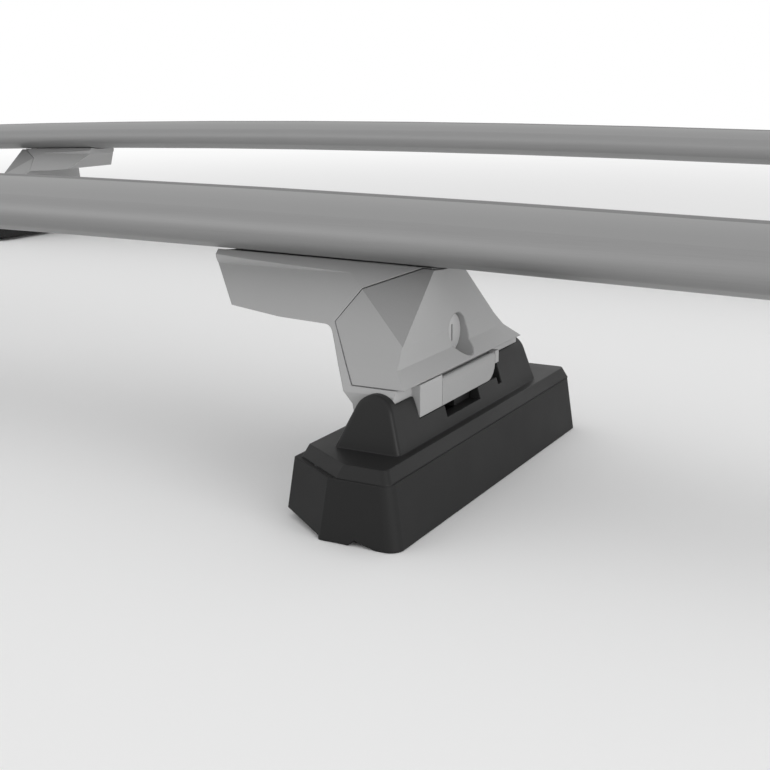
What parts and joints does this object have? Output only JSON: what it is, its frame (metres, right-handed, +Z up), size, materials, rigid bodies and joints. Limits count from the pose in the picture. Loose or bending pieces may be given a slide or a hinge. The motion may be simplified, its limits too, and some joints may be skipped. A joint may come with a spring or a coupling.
{
  "type": "roof rack",
  "caption": "Roof rack of arched aero crossbars on faceted legs that slide along the bars, each with a flared foot pad, a release lever and a lockable pull-off cover.",
  "frame": {"origin": "on the roof plane under the feet, midway between the bars and between the left and right legs", "axes": "+X along the bars to the right, +Y from the front bar to the rear bar, +Z up"},
  "size_m": [1.2666, 0.8496, 0.1407],
  "materials": {
    "bar_aluminium": "satin grey anodised extrusion",
    "strip_rubber": "extruded grey rubber",
    "cap_plastic": "moulded, fine texture",
    "pad_rubber": "moulded black rubber",
    "foot_plastic": "moulded black, fine texture",
    "tower_plastic": "moulded grey, satin",
    "cover_plastic": "moulded grey, satin",
    "lever_plastic": "moulded grey, satin",
    "saddle_rubber": "moulded grey rubber",
    "steel": "zinc plated",
    "lock_metal": "die-cast, nickel plated"
  },
  "bodies": {
    "bars": {"front_crossbar": "bar_aluminium", "front_top_strip": "strip_rubber", "front_right_end_cap": "cap_plastic", "front_left_end_cap": "cap_plastic", "rear_crossbar": "bar_aluminium", "rear_top_strip": "strip_rubber", "rear_right_end_cap": "cap_plastic", "rear_left_end_cap": "cap_plastic"},
    "front_right_leg": {"front_right_foot_pad": "pad_rubber", "front_right_foot_base": "foot_plastic", "front_right_catch_plate": "steel", "front_right_tower": "tower_plastic", "front_right_saddle_pad": "saddle_rubber", "front_right_bar_bolt": "steel", "front_right_bar_nut": "steel", "front_right_lever_pin": "steel"},
    "front_right_lever": {"front_right_lever": "lever_plastic"},
    "front_right_cover": {"front_right_cover": "cover_plastic"},
    "front_right_lock": {"front_right_lock_core": "lock_metal"},
    "front_left_leg": {"front_left_foot_pad": "pad_rubber", "front_left_foot_base": "foot_plastic", "front_left_catch_plate": "steel", "front_left_tower": "tower_plastic", "front_left_saddle_pad": "saddle_rubber", "front_left_bar_bolt": "steel", "front_left_bar_nut": "steel", "front_left_lever_pin": "steel"},
    "front_left_lever": {"front_left_lever": "lever_plastic"},
    "front_left_cover": {"front_left_cover": "cover_plastic"},
    "front_left_lock": {"front_left_lock_core": "lock_metal"},
    "rear_right_leg": {"rear_right_foot_pad": "pad_rubber", "rear_right_foot_base": "foot_plastic", "rear_right_catch_plate": "steel", "rear_right_tower": "tower_plastic", "rear_right_saddle_pad": "saddle_rubber", "rear_right_bar_bolt": "steel", "rear_right_bar_nut": "steel", "rear_right_lever_pin": "steel"},
    "rear_right_lever": {"rear_right_lever": "lever_plastic"},
    "rear_right_cover": {"rear_right_cover": "cover_plastic"},
    "rear_right_lock": {"rear_right_lock_core": "lock_metal"},
    "rear_left_leg": {"rear_left_foot_pad": "pad_rubber", "rear_left_foot_base": "foot_plastic", "rear_left_catch_plate": "steel", "rear_left_tower": "tower_plastic", "rear_left_saddle_pad": "saddle_rubber", "rear_left_bar_bolt": "steel", "rear_left_bar_nut": "steel", "rear_left_lever_pin": "steel"},
    "rear_left_lever": {"rear_left_lever": "lever_plastic"},
    "rear_left_cover": {"rear_left_cover": "cover_plastic"},
    "rear_left_lock": {"rear_left_lock_core": "lock_metal"}
  },
  "joints": [
    {"name": "front_right_leg_slide", "type": "slide", "parent": "bars", "child": "front_right_leg", "axis": [0.9998, 0, -0.0183], "range_m": [-0.03, 0.03]},
    {"name": "front_right_lever_swing", "type": "hinge", "parent": "front_right_leg", "child": "front_right_lever", "pos_m": [0.3627, -0.315, 0.0546], "axis": [0, -1, 0], "range_deg": [0, 70]},
    {"name": "front_right_cover_pull", "type": "slide", "parent": "front_right_leg", "child": "front_right_cover", "axis": [1, 0, 0], "range_m": [0, 0.03]},
    {"name": "front_right_lock_turn", "type": "hinge", "parent": "front_right_cover", "child": "front_right_lock", "pos_m": [0.348, -0.308, 0.0695], "axis": [1, 0, 0], "range_deg": [0, 90]},
    {"name": "front_left_leg_slide", "type": "slide", "parent": "bars", "child": "front_left_leg", "axis": [-0.9998, 0, -0.0183], "range_m": [-0.03, 0.03]},
    {"name": "front_left_lever_swing", "type": "hinge", "parent": "front_left_leg", "child": "front_left_lever", "pos_m": [-0.3627, -0.315, 0.0546], "axis": [0, 1, 0], "range_deg": [0, 70]},
    {"name": "front_left_cover_pull", "type": "slide", "parent": "front_left_leg", "child": "front_left_cover", "axis": [-1, 0, 0], "range_m": [0, 0.03]},
    {"name": "front_left_lock_turn", "type": "hinge", "parent": "front_left_cover", "child": "front_left_lock", "pos_m": [-0.348, -0.322, 0.0695], "axis": [-1, 0, 0], "range_deg": [0, 90]},
    {"name": "rear_right_leg_slide", "type": "slide", "parent": "bars", "child": "rear_right_leg", "axis": [0.9996, 0, -0.0278], "range_m": [-0.03, 0.03]},
    {"name": "rear_right_lever_swing", "type": "hinge", "parent": "rear_right_leg", "child": "rear_right_lever", "pos_m": [0.5437, 0.315, 0.0546], "axis": [0, -1, 0], "range_deg": [0, 70]},
    {"name": "rear_right_cover_pull", "type": "slide", "parent": "rear_right_leg", "child": "rear_right_cover", "axis": [1, 0, 0], "range_m": [0, 0.03]},
    {"name": "rear_right_lock_turn", "type": "hinge", "parent": "rear_right_cover", "child": "rear_right_lock", "pos_m": [0.529, 0.322, 0.0695], "axis": [1, 0, 0], "range_deg": [0, 90]},
    {"name": "rear_left_leg_slide", "type": "slide", "parent": "bars", "child": "rear_left_leg", "axis": [-0.9996, 0, -0.0278], "range_m": [-0.03, 0.03]},
    {"name": "rear_left_lever_swing", "type": "hinge", "parent": "rear_left_leg", "child": "rear_left_lever", "pos_m": [-0.5437, 0.315, 0.0546], "axis": [0, 1, 0], "range_deg": [0, 70]},
    {"name": "rear_left_cover_pull", "type": "slide", "parent": "rear_left_leg", "child": "rear_left_cover", "axis": [-1, 0, 0], "range_m": [0, 0.03]},
    {"name": "rear_left_lock_turn", "type": "hinge", "parent": "rear_left_cover", "child": "rear_left_lock", "pos_m": [-0.529, 0.308, 0.0695], "axis": [-1, 0, 0], "range_deg": [0, 90]}
  ]
}
